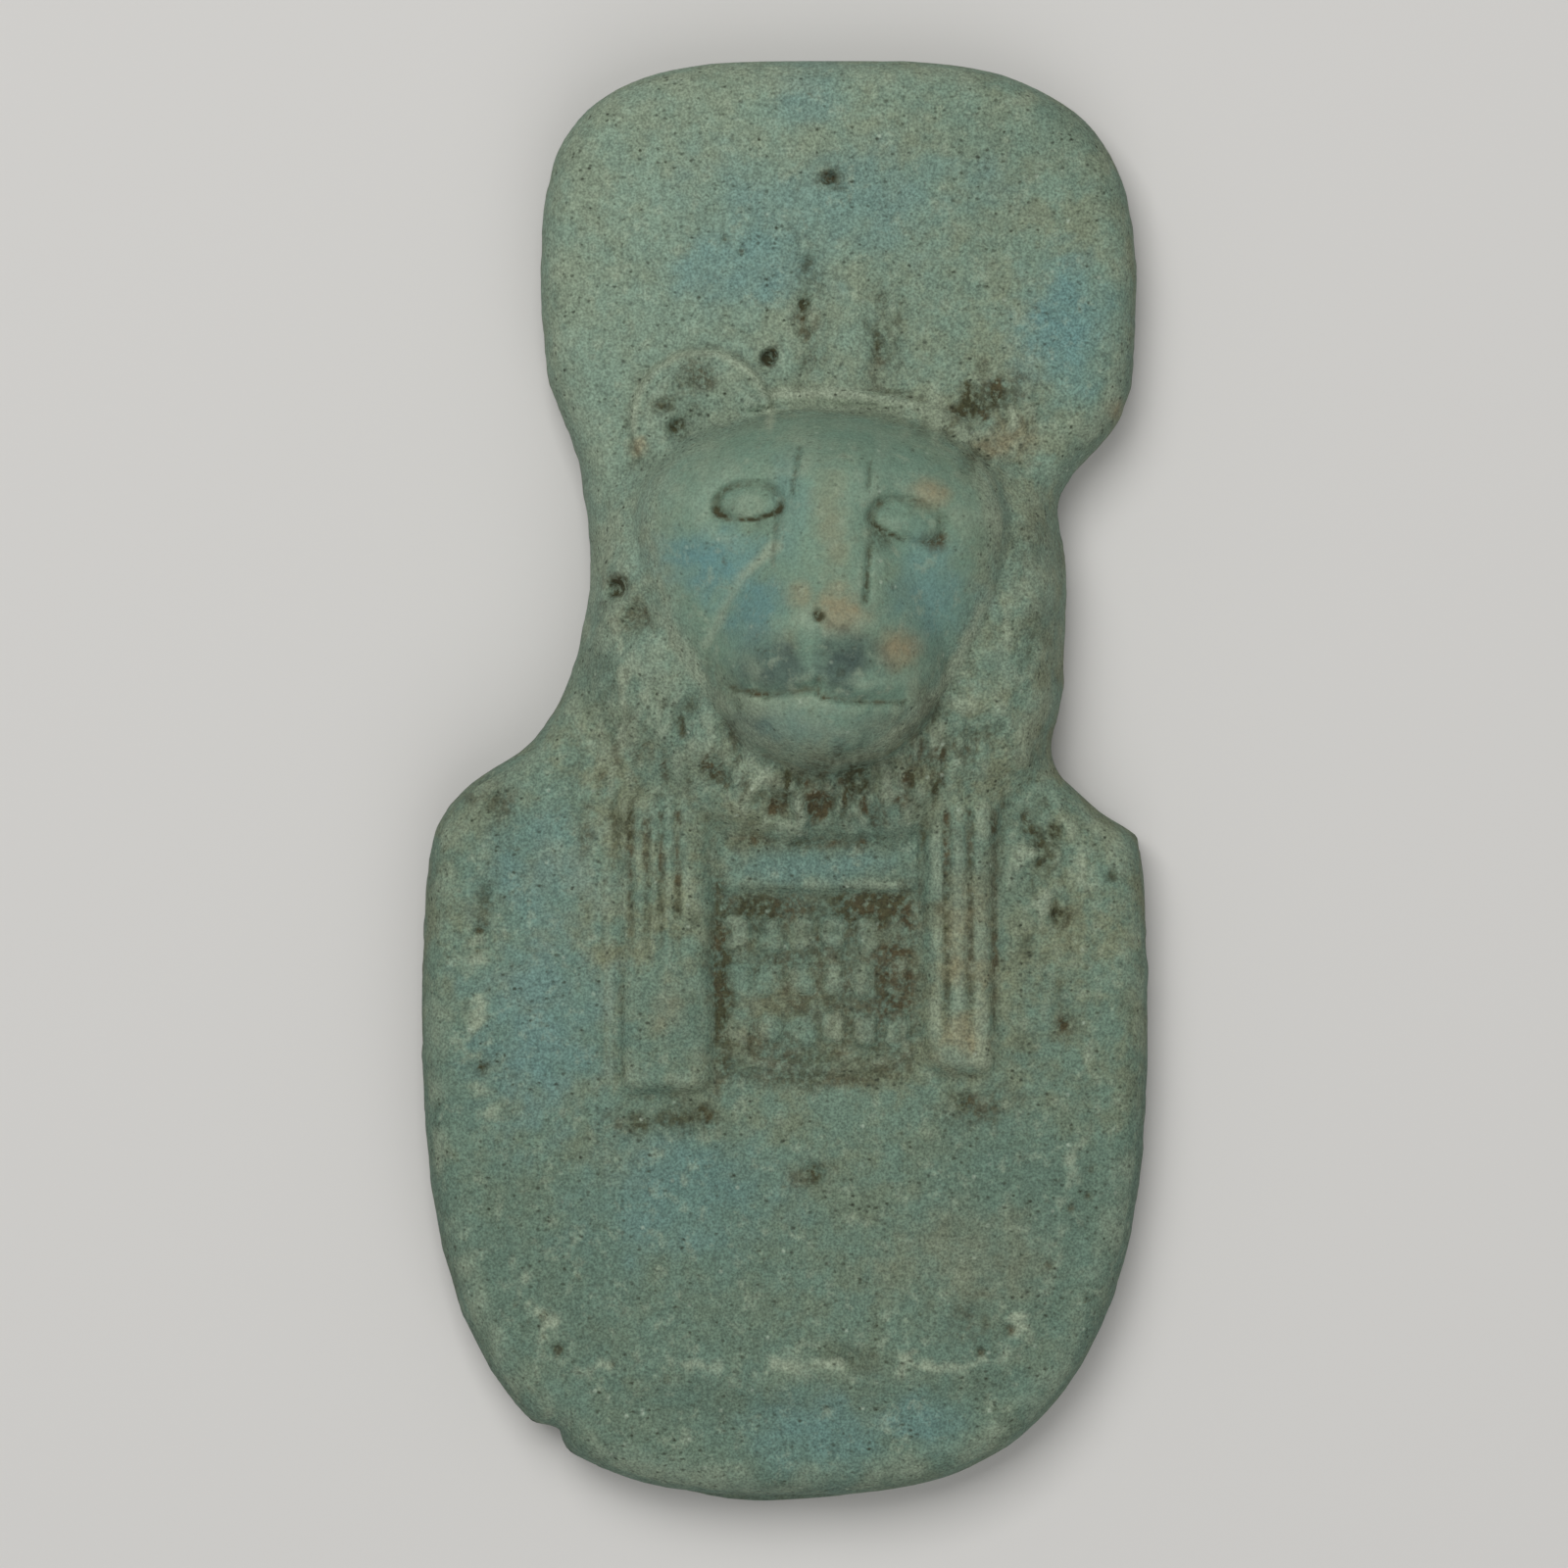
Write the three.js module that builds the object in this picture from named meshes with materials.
// Aegis of a lioness goddess: a maned lioness head with a sun disc above a broad collar,
// pressed as one piece of faience in an open mould, so no part of the front is undercut.
// Millimetres, +Z up. The piece lies on its flat back with the face up, +Y towards the sun disc.
import * as THREE from 'three';
import { mergeVertices } from 'three/addons/utils/BufferGeometryUtils.js';

const { clamp, lerp, smoothstep, degToRad } = THREE.MathUtils;

// Outline seen from the front. The disc and the collar are superellipses, and each side between
// them runs through hand-chosen [y, x] points of the trimmed neck and shoulder.
const DISC = { x: 2.75, y: 24.55, halfWidth: 15.25, rise: 12.3, squareLeft: 3.5, squareRight: 2.9 };
const COLLAR = { x: 0, y: -10.2, halfWidth: 18.6, drop: 26.4, square: 2.85 };
const LEFT_SIDE = [
  [24.55, -12.5], [20.8, -12.15], [18.3, -11.3], [15.8, -10.45], [10.8, -10.0],
  [5.8, -10.85], [2.05, -12.9], [-0.45, -16.4], [-2.95, -18.0], [-10.2, -18.6],
];
const RIGHT_SIDE = [
  [24.55, 18.0], [20.8, 17.8], [18.3, 17.0], [14.55, 14.1], [10.8, 14.4],
  [4.55, 14.2], [0.9, 13.75], [-1.7, 16.25], [-2.95, 18.0], [-10.2, 18.6],
];
// A chip knocked out of the lower left rim, and the thin lip of paste left under the lower back edge
const RIM_CHIP = { x: -12.2, y: -33.9, reach: 1.4, depth: 0.55 };
const BACK_LIP = { x: -0.9, reach: 6.4, length: 0.5, top: 1.6 };

// Thickness of the plate: at its rim, over the disc and over the collar
const EDGE_Z = 2.8;
const RIM_Z = 5.1;
const DISC_Z = 5.9;
const COLLAR_Z = 6.9;
const CROWN_REACH = 8;
const EDGE_ROUND = 2.0;
const BACK_ROUND = 0.8;

// Border crease of the collar, where its flat field meets the sloping rim
const BORDER = {
  x: -0.1, y: -10, halfWidth: 15.8, taper: 0.0105, bottom: -30, corner: 3, fall: 0.45, width: 2.6,
};

// Wig and mane around the head, and the ruff of mane hair under the chin
const WIG = {
  x: 2.2, y: 8.2, halfWidth: 12.9, rise: 11.0, drop: 12.2, square: 2.5,
  base: 4.6, z: 9.9, flat: 3, steep: 0.6,
};
const RUFF = {
  x: 1.9, y: 6, halfWidth: 9.8, rise: 5, drop: 9.6, square: 2.4,
  base: 6.6, z: 9.6, flat: 4, steep: 0.8,
};
const LOCKS = { count: 30, depth: 0.22 };

// Face: a rounded wedge, widest at the cheekbones, with a broad straight bridge down to a blunt muzzle
const FACE = {
  x: 1.9, y: 13, halfWidth: 9.1, rise: 5.9, drop: 12.6, squareUp: 2.2, squareDown: 1.75,
  base: 9.0, z: 13.7, flat: 2.6, steep: 0.75, browBase: 6.5, browSteep: 1.0, blend: 1,
};
const MUZZLE = {
  x: 2.1, y: 5.6, halfWidth: 6.0, rise: 7.2, drop: 5.2, square: 2,
  base: 9.0, z: 15.4, flat: 3, steep: 0.7, blend: 2,
};
const BRIDGE = {
  x: 2.0, lean: 0.04, top: 15, tip: 8.2, topZ: 13.9, tipZ: 15.7, halfWidth: 2.6, flare: 0.05, blend: 1.8,
};
const NOSE = { x: 1.95, y: 7.2, halfWidth: 3.4, halfHeight: 2.8, rise: 0.3 };
const MOUTH = { x: 1.65, y: 4.6, halfWidth: 4.6, sag: 0.3, tilt: -0.08, depth: 0.45, width: 0.6 };
const EYES = [
  { x: -1.8, y: 13.6, halfWidth: 1.75, halfHeight: 1.15, tilt: 2 },
  { x: 6.05, y: 12.55, halfWidth: 1.9, halfHeight: 1.3, tilt: -12 },
];
const SOCKET = { reach: 1.8, depth: 0.85, ball: 0.85 };
const BROW_BAND = { low: 1.03, high: 1.13, rise: 0.4, from: -1.5, to: 8.6 };

// Ears. The right one is broken away to a low stump.
const EARS = [
  { x: -4.2, y: 18.2, radius: 3.8, base: 5.2, z: 7.8, hollow: 1.2, flat: 2.4, steep: 0.6 },
  { x: 10.3, y: 18.2, radius: 3.4, base: 5.2, z: 7.4, hollow: 0.9, flat: 2, steep: 0.8 },
];

// Worn cobra on the disc above the brow
const COBRA = { x: 3.1, base: 18.6, top: 26, halfWidth: 2.0, rise: 0.65, fade: 1.6 };

// Neck panel between the lappets: a plain band above rows of beads and a closing rim
const PANEL = { x: 1.65, halfWidth: 4.95, top: -3.3, band: -5.3, bottom: -15.2, z: 6.8, bandRise: 0.45 };
const BEADS = { rows: [-7.7, -10.1, -12.6], count: 6, halfWidth: 0.75, halfHeight: 1.05, rise: 0.4 };
const BEAD_PITCH = (2 * PANEL.halfWidth) / BEADS.count;
const PANEL_RIM = { y: -14.6, halfHeight: 0.6, rise: 0.35, sag: 0.9 };

// Two lappets of the wig on the collar, one each side of the panel, fluted lengthwise
const FLUTES = { pitch: 1.12, depth: 0.3 };
const LAPPETS = [
  { side: -1, flutes: 5, top: -1.2, bottom: -16, z: 8.0, fluteFrom: -9 },
  { side: 1, flutes: 4, top: -1.2, bottom: -15, z: 7.9, fluteFrom: -13 },
];
const LAPPET = { base: 5.9, flat: 3.4, steep: 0.75, end: 0.9, fade: 4 };

// Larger pits and hollows in the front: centre, radius and depth
const PITS = [
  { x: 2.2, y: 30.6, radius: 0.5, depth: 0.7 },
  { x: -0.8, y: 21.2, radius: 1.0, depth: 0.7 },
  { x: 1.0, y: 24.2, radius: 0.9, depth: 0.35 },
  { x: -8.4, y: 9.4, radius: 1.3, depth: 1.1 },
  { x: 1.4, y: -19.9, radius: 0.9, depth: 0.4 },
  { x: -14.7, y: -1.1, radius: 1.3, depth: 0.3 },
];

// Mesh layout: a vertical spine that the front's columns start from, and rows across it.
// The inner columns fall on the beads and on the ridges and grooves of the flutes.
const SPINE_X = PANEL.x;
const ROW_ZONES = [
  [-17.6, -3.4, 0.71], [-3.4, 6.2, 0.6], [6.2, 11, 0.96],
  [11, 15.4, 0.74], [15.4, 21.4, 0.62], [21.4, 28, 1.1],
];
const PANEL_COLUMNS = 9;
const LAPPET_COLUMNS = 10;
const OUTER_COLUMNS = 6;
const OUTER_CLEARANCE = 2.2;
const COLLAR_RAYS = 20;
const DISC_RAYS = 14;

const FAIENCE = new THREE.MeshStandardMaterial({ color: 0x74907e, roughness: 0.85, metalness: 0 });

// Smooth bump of height 1 at t = 0 that ends at t = 1 and -1
const bell = (t) => (Math.abs(t) < 1 ? (1 - t * t) ** 2 : 0);

// Larger of two heights, with a fillet of about k where they cross
function smoothMax(a, b, k) {
  const share = clamp(0.5 + (0.5 * (a - b)) / k, 0, 1);
  return lerp(b, a, share) + k * share * (1 - share);
}

// Superellipse distance: 0 at the centre and 1 on the curve
const reach = (dx, dy, square) => (Math.abs(dx) ** square + Math.abs(dy) ** square) ** (1 / square);

// Domed profile: 1 at the centre, falling to 0 where the reach is 1
const dome = (r, flat, steep) => (r < 1 ? (1 - r ** flat) ** steep : 0);

// Height of a domed mass, which drops away outside its outline
const FALL = 30;
function mound(r, { base, z, flat, steep }) {
  return lerp(base, z, dome(r, flat, steep)) - FALL * Math.max(r - 1, 0);
}

// Reach of a point in a mass whose upper and lower halves differ in height
function massReach(mass, x, y) {
  const dy = y - mass.y;
  return reach((x - mass.x) / mass.halfWidth, dy / (dy > 0 ? mass.rise : mass.drop), mass.square);
}

// 1 between low and high, with soft ends of the given width
function between(t, low, high, soft) {
  return smoothstep(t, low - soft, low) * (1 - smoothstep(t, high, high + soft));
}

// Smooth value at y through [y, value] points, given from the highest y down
function through(points, y) {
  const last = points.length - 1;
  let i = 0;
  while (i < last - 1 && y < points[i + 1][0]) i += 1;
  const slope = (k) => {
    const [before, after] = [points[Math.max(k - 1, 0)], points[Math.min(k + 1, last)]];
    return (after[1] - before[1]) / (after[0] - before[0]);
  };
  const [[y0, v0], [y1, v1]] = [points[i], points[i + 1]];
  const span = y1 - y0;
  const t = clamp((y - y0) / span, 0, 1);
  const straight = lerp(v0, v1, t);
  const bendStart = (slope(i) * span - (v1 - v0)) * t * (1 - t) ** 2;
  const bendEnd = (v1 - v0 - slope(i + 1) * span) * t * t * (1 - t);
  return straight + bendStart + bendEnd;
}

// Point of the disc's or the collar's superellipse, spaced so that steps of the angle close up at the corners
function superellipsePoint(shape, height, square, angle) {
  const bent = (t) => Math.sign(t) * Math.abs(t) ** (2 / square);
  return new THREE.Vector2(
    shape.x + shape.halfWidth * bent(Math.cos(angle)),
    shape.y + height * bent(Math.sin(angle)),
  );
}

const discSquare = (side) => (side < 0 ? DISC.squareLeft : DISC.squareRight);
const discPoint = (angle) => superellipsePoint(DISC, DISC.rise, discSquare(Math.cos(angle)), angle);
const collarPoint = (angle) => superellipsePoint(COLLAR, COLLAR.drop, COLLAR.square, angle);

// Rim of one side at height y, side being -1 on the left and 1 on the right
function sidePoint(y, side) {
  const below = y < COLLAR.y;
  if (!below && y < DISC.y) return new THREE.Vector2(through(side < 0 ? LEFT_SIDE : RIGHT_SIDE, y), y);
  const shape = below ? COLLAR : DISC;
  const square = below ? COLLAR.square : discSquare(side);
  const share = Math.abs((y - shape.y) / (below ? COLLAR.drop : DISC.rise)) ** square;
  return new THREE.Vector2(shape.x + side * shape.halfWidth * (1 - share) ** (1 / square), y);
}

// Angle at which a superellipse is a given share of its height above or below its centre
const angleAt = (share, square) => Math.asin(share ** (square / 2));

// Rim point, moved towards its spine point where the rim is chipped
function chipped(rim, core) {
  const bite = RIM_CHIP.depth * bell(rim.distanceTo(RIM_CHIP) / RIM_CHIP.reach);
  return rim.lerp(core, bite / rim.distanceTo(core));
}

// Stations around the rim, anticlockwise from the lower right, each with the spine point it is reached from
function rimStations() {
  const rows = ROW_ZONES.flatMap(([low, high, step]) => {
    const count = Math.round((high - low) / step);
    return Array.from({ length: count }, (_, i) => lerp(low, high, i / count));
  });
  const [lowest, highest] = [rows[0], ROW_ZONES.at(-1)[1]];
  rows.push(highest);
  const stations = [];
  const add = (rim, spineY) => {
    const core = new THREE.Vector2(SPINE_X, spineY);
    stations.push({ rim: chipped(rim, core), core });
  };
  const fan = (count, from, to, pointAt, spineY) => {
    for (let i = 1; i < count; i += 1) add(pointAt(lerp(from, to, i / count)), spineY);
  };
  rows.forEach((y) => add(sidePoint(y, 1), y));
  const discStart = angleAt((highest - DISC.y) / DISC.rise, DISC.squareRight);
  const discEnd = Math.PI - angleAt((highest - DISC.y) / DISC.rise, DISC.squareLeft);
  fan(DISC_RAYS, discStart, discEnd, discPoint, highest);
  rows.toReversed().forEach((y) => add(sidePoint(y, -1), y));
  const collarStart = angleAt((COLLAR.y - lowest) / COLLAR.drop, COLLAR.square);
  fan(COLLAR_RAYS, Math.PI + collarStart, 2 * Math.PI - collarStart, collarPoint, lowest);
  return stations;
}

const STATIONS = rimStations();

// Distance from a point to the rim
function rimDistance(point) {
  const edge = new THREE.Vector2();
  const offset = new THREE.Vector2();
  return STATIONS.reduce((nearest, { rim }, i) => {
    const next = STATIONS[(i + 1) % STATIONS.length].rim;
    edge.subVectors(next, rim);
    offset.subVectors(point, rim);
    const share = clamp(offset.dot(edge) / edge.lengthSq(), 0, 1);
    return Math.min(nearest, offset.addScaledVector(edge, -share).length());
  }, Infinity);
}

// Plate of the disc and the collar, crowned from its rim inwards, with the collar's border crease
function plate(x, y, inset) {
  const crown = lerp(COLLAR_Z, DISC_Z, smoothstep(y, -4, 20));
  const rise = 1 - (1 - Math.min(inset / CROWN_REACH, 1)) ** 2;
  const halfWidth = BORDER.halfWidth - BORDER.taper * (y - BORDER.y) ** 2;
  const outside = smoothMax(Math.abs(x - BORDER.x) - halfWidth, BORDER.bottom - y, BORDER.corner);
  const onCollar = 1 - smoothstep(y, -12, -1);
  return lerp(RIM_Z, crown, rise) - BORDER.fall * onCollar * smoothstep(outside, 0, BORDER.width);
}

// Locks of the mane, radiating from the face
function maneLocks(x, y, faceReach) {
  const angle = Math.atan2(y - FACE.y, x - FACE.x);
  const shown = smoothstep(faceReach, 1.0, 1.12) * (1 - smoothstep(faceReach, 1.3, 1.55));
  return LOCKS.depth * shown * Math.cos(angle * LOCKS.count) * smoothstep(14 - y, 0, 6);
}

// Reach of a point in the face's outline, which is squarer above than below
function faceReachAt(x, y) {
  const dy = y - FACE.y;
  const upper = dy > 0;
  const height = upper ? FACE.rise : FACE.drop;
  return reach((x - FACE.x) / FACE.halfWidth, dy / height, upper ? FACE.squareUp : FACE.squareDown);
}

// Eye: a ball in a sunk socket
function eyeRelief(eye, x, y) {
  const turn = degToRad(eye.tilt);
  const [dx, dy] = [x - eye.x, y - eye.y];
  const u = (dx * Math.cos(turn) + dy * Math.sin(turn)) / eye.halfWidth;
  const v = (dy * Math.cos(turn) - dx * Math.sin(turn)) / eye.halfHeight;
  const r = Math.hypot(u, v);
  return SOCKET.ball * bell(r) - SOCKET.depth * bell(r / SOCKET.reach);
}

// Nose bridge: a ridge that rises towards the nose and rounds off at both ends
function bridge(x, y) {
  const slope = lerp(BRIDGE.topZ, BRIDGE.tipZ, (BRIDGE.top - y) / (BRIDGE.top - BRIDGE.tip));
  const ends = 0.5 * Math.max(y - BRIDGE.top, BRIDGE.tip - y, 0) ** 2;
  const halfWidth = BRIDGE.halfWidth + BRIDGE.flare * (BRIDGE.top - y);
  const across = Math.abs(x - BRIDGE.x - BRIDGE.lean * (y - BRIDGE.tip)) / halfWidth;
  return slope - ends - 2 * Math.max(across - 0.2, 0) ** 2;
}

// Dome of the face, which slopes back to the disc above the eyes
function faceDome(y, r) {
  const brow = smoothstep(y, FACE.y, FACE.y + FACE.rise);
  const base = lerp(FACE.base, FACE.browBase, brow);
  return mound(r, { ...FACE, base, steep: lerp(FACE.steep, FACE.browSteep, brow) });
}

// Face: dome, muzzle, bridge, nose, mouth line and eyes
function face(x, y, r) {
  let z = smoothMax(faceDome(y, r), mound(massReach(MUZZLE, x, y), MUZZLE), MUZZLE.blend);
  z = smoothMax(z, bridge(x, y), BRIDGE.blend);
  z += NOSE.rise * bell(Math.hypot((x - NOSE.x) / NOSE.halfWidth, (y - NOSE.y) / NOSE.halfHeight));
  const along = (x - MOUTH.x) / MOUTH.halfWidth;
  const bow = Math.sin(Math.PI * Math.min(Math.abs(along), 1));
  const lips = MOUTH.y + MOUTH.tilt * (x - MOUTH.x) - MOUTH.sag * bow;
  z -= MOUTH.depth * bell((y - lips) / MOUTH.width) * (1 - smoothstep(Math.abs(along), 0.85, 1.05));
  for (const eye of EYES) z += eyeRelief(eye, x, y);
  return z;
}

// Narrow raised band along the top of the brow
function browBand(x, r) {
  const across = between(r, BROW_BAND.low, BROW_BAND.high, 0.05);
  return BROW_BAND.rise * across * between(x, BROW_BAND.from, BROW_BAND.to, 1);
}

// Ear: a low round flap with a hollow
function ear(shape, x, y) {
  const r = Math.hypot(x - shape.x, y - shape.y) / shape.radius;
  return mound(r, shape) - shape.hollow * bell(r / 0.85);
}

// Cobra: a low upright ridge, narrower and more worn towards its head
function cobra(x, y) {
  const worn = smoothstep(y, COBRA.base, COBRA.top);
  const width = COBRA.halfWidth * lerp(1, 0.75, worn);
  const shown = between(y, COBRA.base, COBRA.top, COBRA.fade) * lerp(1, 0.6, worn);
  return COBRA.rise * shown * (1 - smoothstep(Math.abs(x - COBRA.x), width * 0.4, width * 1.15));
}

// Lappet: a round-shouldered bar that comes out from under the mane, with flutes that fade out
// towards a worn lower end
function lappet(shape, x, y) {
  const width = shape.flutes * FLUTES.pitch;
  const across = shape.side * (x - PANEL.x) - PANEL.halfWidth;
  const side = dome(Math.abs((2 * across) / width - 1), LAPPET.flat, LAPPET.steep);
  const lower = smoothstep(y, shape.bottom - LAPPET.end, shape.bottom + LAPPET.end);
  const upper = 1 - smoothstep(y, shape.top, shape.top + LAPPET.fade);
  const groove = 0.5 + 0.5 * Math.cos((2 * Math.PI * across) / FLUTES.pitch);
  const cut = FLUTES.depth * groove * smoothstep(y, shape.fluteFrom - 3, shape.fluteFrom + 3);
  return lerp(LAPPET.base, shape.z - cut, side * lower * upper);
}

// Sunk panel between the lappets: smooth band, rows of upright beads, rim
function panel(x, y) {
  const across = x - PANEL.x;
  let rise = PANEL.bandRise * between(y, PANEL.band, PANEL.top, 0.4);
  const toBead = across - BEAD_PITCH * (Math.floor(across / BEAD_PITCH) + 0.5);
  for (const row of BEADS.rows) {
    rise += BEADS.rise * bell(reach(toBead / BEADS.halfWidth, (y - row) / BEADS.halfHeight, 3) * 0.85);
  }
  const sag = PANEL_RIM.sag * (across / PANEL.halfWidth) ** 2;
  return PANEL.z + rise + PANEL_RIM.rise * bell((y - PANEL_RIM.y - sag) / PANEL_RIM.halfHeight);
}

// Height of the front at a point, before its rim is rounded off
function carving(x, y, inset) {
  let z = plate(x, y, inset) + cobra(x, y);
  const inPanel = 1 - smoothstep(Math.abs(x - PANEL.x), PANEL.halfWidth, PANEL.halfWidth + 0.3);
  z = lerp(z, panel(x, y), inPanel * between(y, PANEL.bottom, PANEL.top, 0.4));
  for (const shape of LAPPETS) z = smoothMax(z, lappet(shape, x, y), 0.3);
  const r = faceReachAt(x, y);
  z = smoothMax(z, mound(massReach(WIG, x, y), WIG), 1);
  z = smoothMax(z, mound(massReach(RUFF, x, y), RUFF), 0.4);
  z += maneLocks(x, y, r);
  for (const shape of EARS) z = smoothMax(z, ear(shape, x, y), 0.3);
  if (y > FACE.y) z += browBand(x, r);
  z = smoothMax(z, face(x, y, r), FACE.blend);
  for (const pit of PITS) z -= pit.depth * bell(Math.hypot(x - pit.x, y - pit.y) / pit.radius);
  return z;
}

// Height of the front with its rim rounded over
function frontHeight(point) {
  const inset = rimDistance(point);
  const rounding = Math.sqrt(1 - (1 - Math.min(inset / EDGE_ROUND, 1)) ** 2);
  return lerp(EDGE_Z, carving(point.x, point.y, inset), rounding);
}

// Distances from the spine of one station's columns: on the carving first, then closing up at the rim
const INNER_COLUMNS = [
  ...Array.from({ length: PANEL_COLUMNS }, (_, i) => (i * BEAD_PITCH) / 3),
  ...Array.from({ length: LAPPET_COLUMNS }, (_, i) => PANEL.halfWidth + (i * FLUTES.pitch) / 2),
];
const INNER_REACH = PANEL.halfWidth + (LAPPET_COLUMNS * FLUTES.pitch) / 2;

function columnDistances(length) {
  const inner = Math.min(INNER_REACH, length - OUTER_CLEARANCE);
  const distances = INNER_COLUMNS.map((distance) => (distance * inner) / INNER_REACH);
  for (let i = 0; i <= OUTER_COLUMNS; i += 1) {
    const share = Math.sin(((i / OUTER_COLUMNS) * Math.PI) / 2);
    distances.push(lerp(inner, length, share));
  }
  return distances;
}

// One station's line of points from the front of the spine, over the rim, to the back of the spine
function stationLine({ rim, core }) {
  const length = rim.distanceTo(core);
  const line = columnDistances(length).map((distance) => {
    const point = core.clone().lerp(rim, distance / length);
    return [point.x, point.y, frontHeight(point)];
  });
  const below = rim.y < core.y ? bell((rim.x - BACK_LIP.x) / BACK_LIP.reach) : 0;
  const out = 1 + (BACK_LIP.length * below) / length;
  const lip = core.clone().lerp(rim, out);
  const foot = core.clone().lerp(rim, out - BACK_ROUND / length);
  line.push([rim.x, rim.y, BACK_LIP.top], [lip.x, lip.y, BACK_ROUND]);
  line.push([foot.x, foot.y, 0], [core.x, core.y, 0]);
  return line;
}

// Closed skin over all stations, with the origin under the middle of its box.
// Welding drops the faces that collapse where columns meet on the spine.
function aegisGeometry() {
  const lines = STATIONS.map(stationLine);
  const corners = [];
  lines.forEach((line, i) => {
    const next = lines[(i + 1) % lines.length];
    for (let k = 0; k + 1 < line.length; k += 1) {
      corners.push(...line[k], ...line[k + 1], ...next[k + 1]);
      corners.push(...line[k], ...next[k + 1], ...next[k]);
    }
  });
  const loose = new THREE.BufferGeometry();
  loose.setAttribute('position', new THREE.Float32BufferAttribute(corners, 3));
  const welded = mergeVertices(loose, 1e-3);
  const index = [];
  for (let i = 0; i < welded.index.count; i += 3) {
    const [a, b, c] = [0, 1, 2].map((k) => welded.index.getX(i + k));
    if (a !== b && b !== c && c !== a) index.push(a, b, c);
  }
  welded.setIndex(index);
  welded.computeBoundingBox();
  const middle = welded.boundingBox.getCenter(new THREE.Vector3());
  welded.translate(-middle.x, -middle.y, 0);
  welded.computeVertexNormals();
  return welded;
}

const aegis = new THREE.Mesh(aegisGeometry(), FAIENCE);
aegis.name = 'lioness_aegis';

const part = new THREE.Group();
part.add(aegis);

export default part;
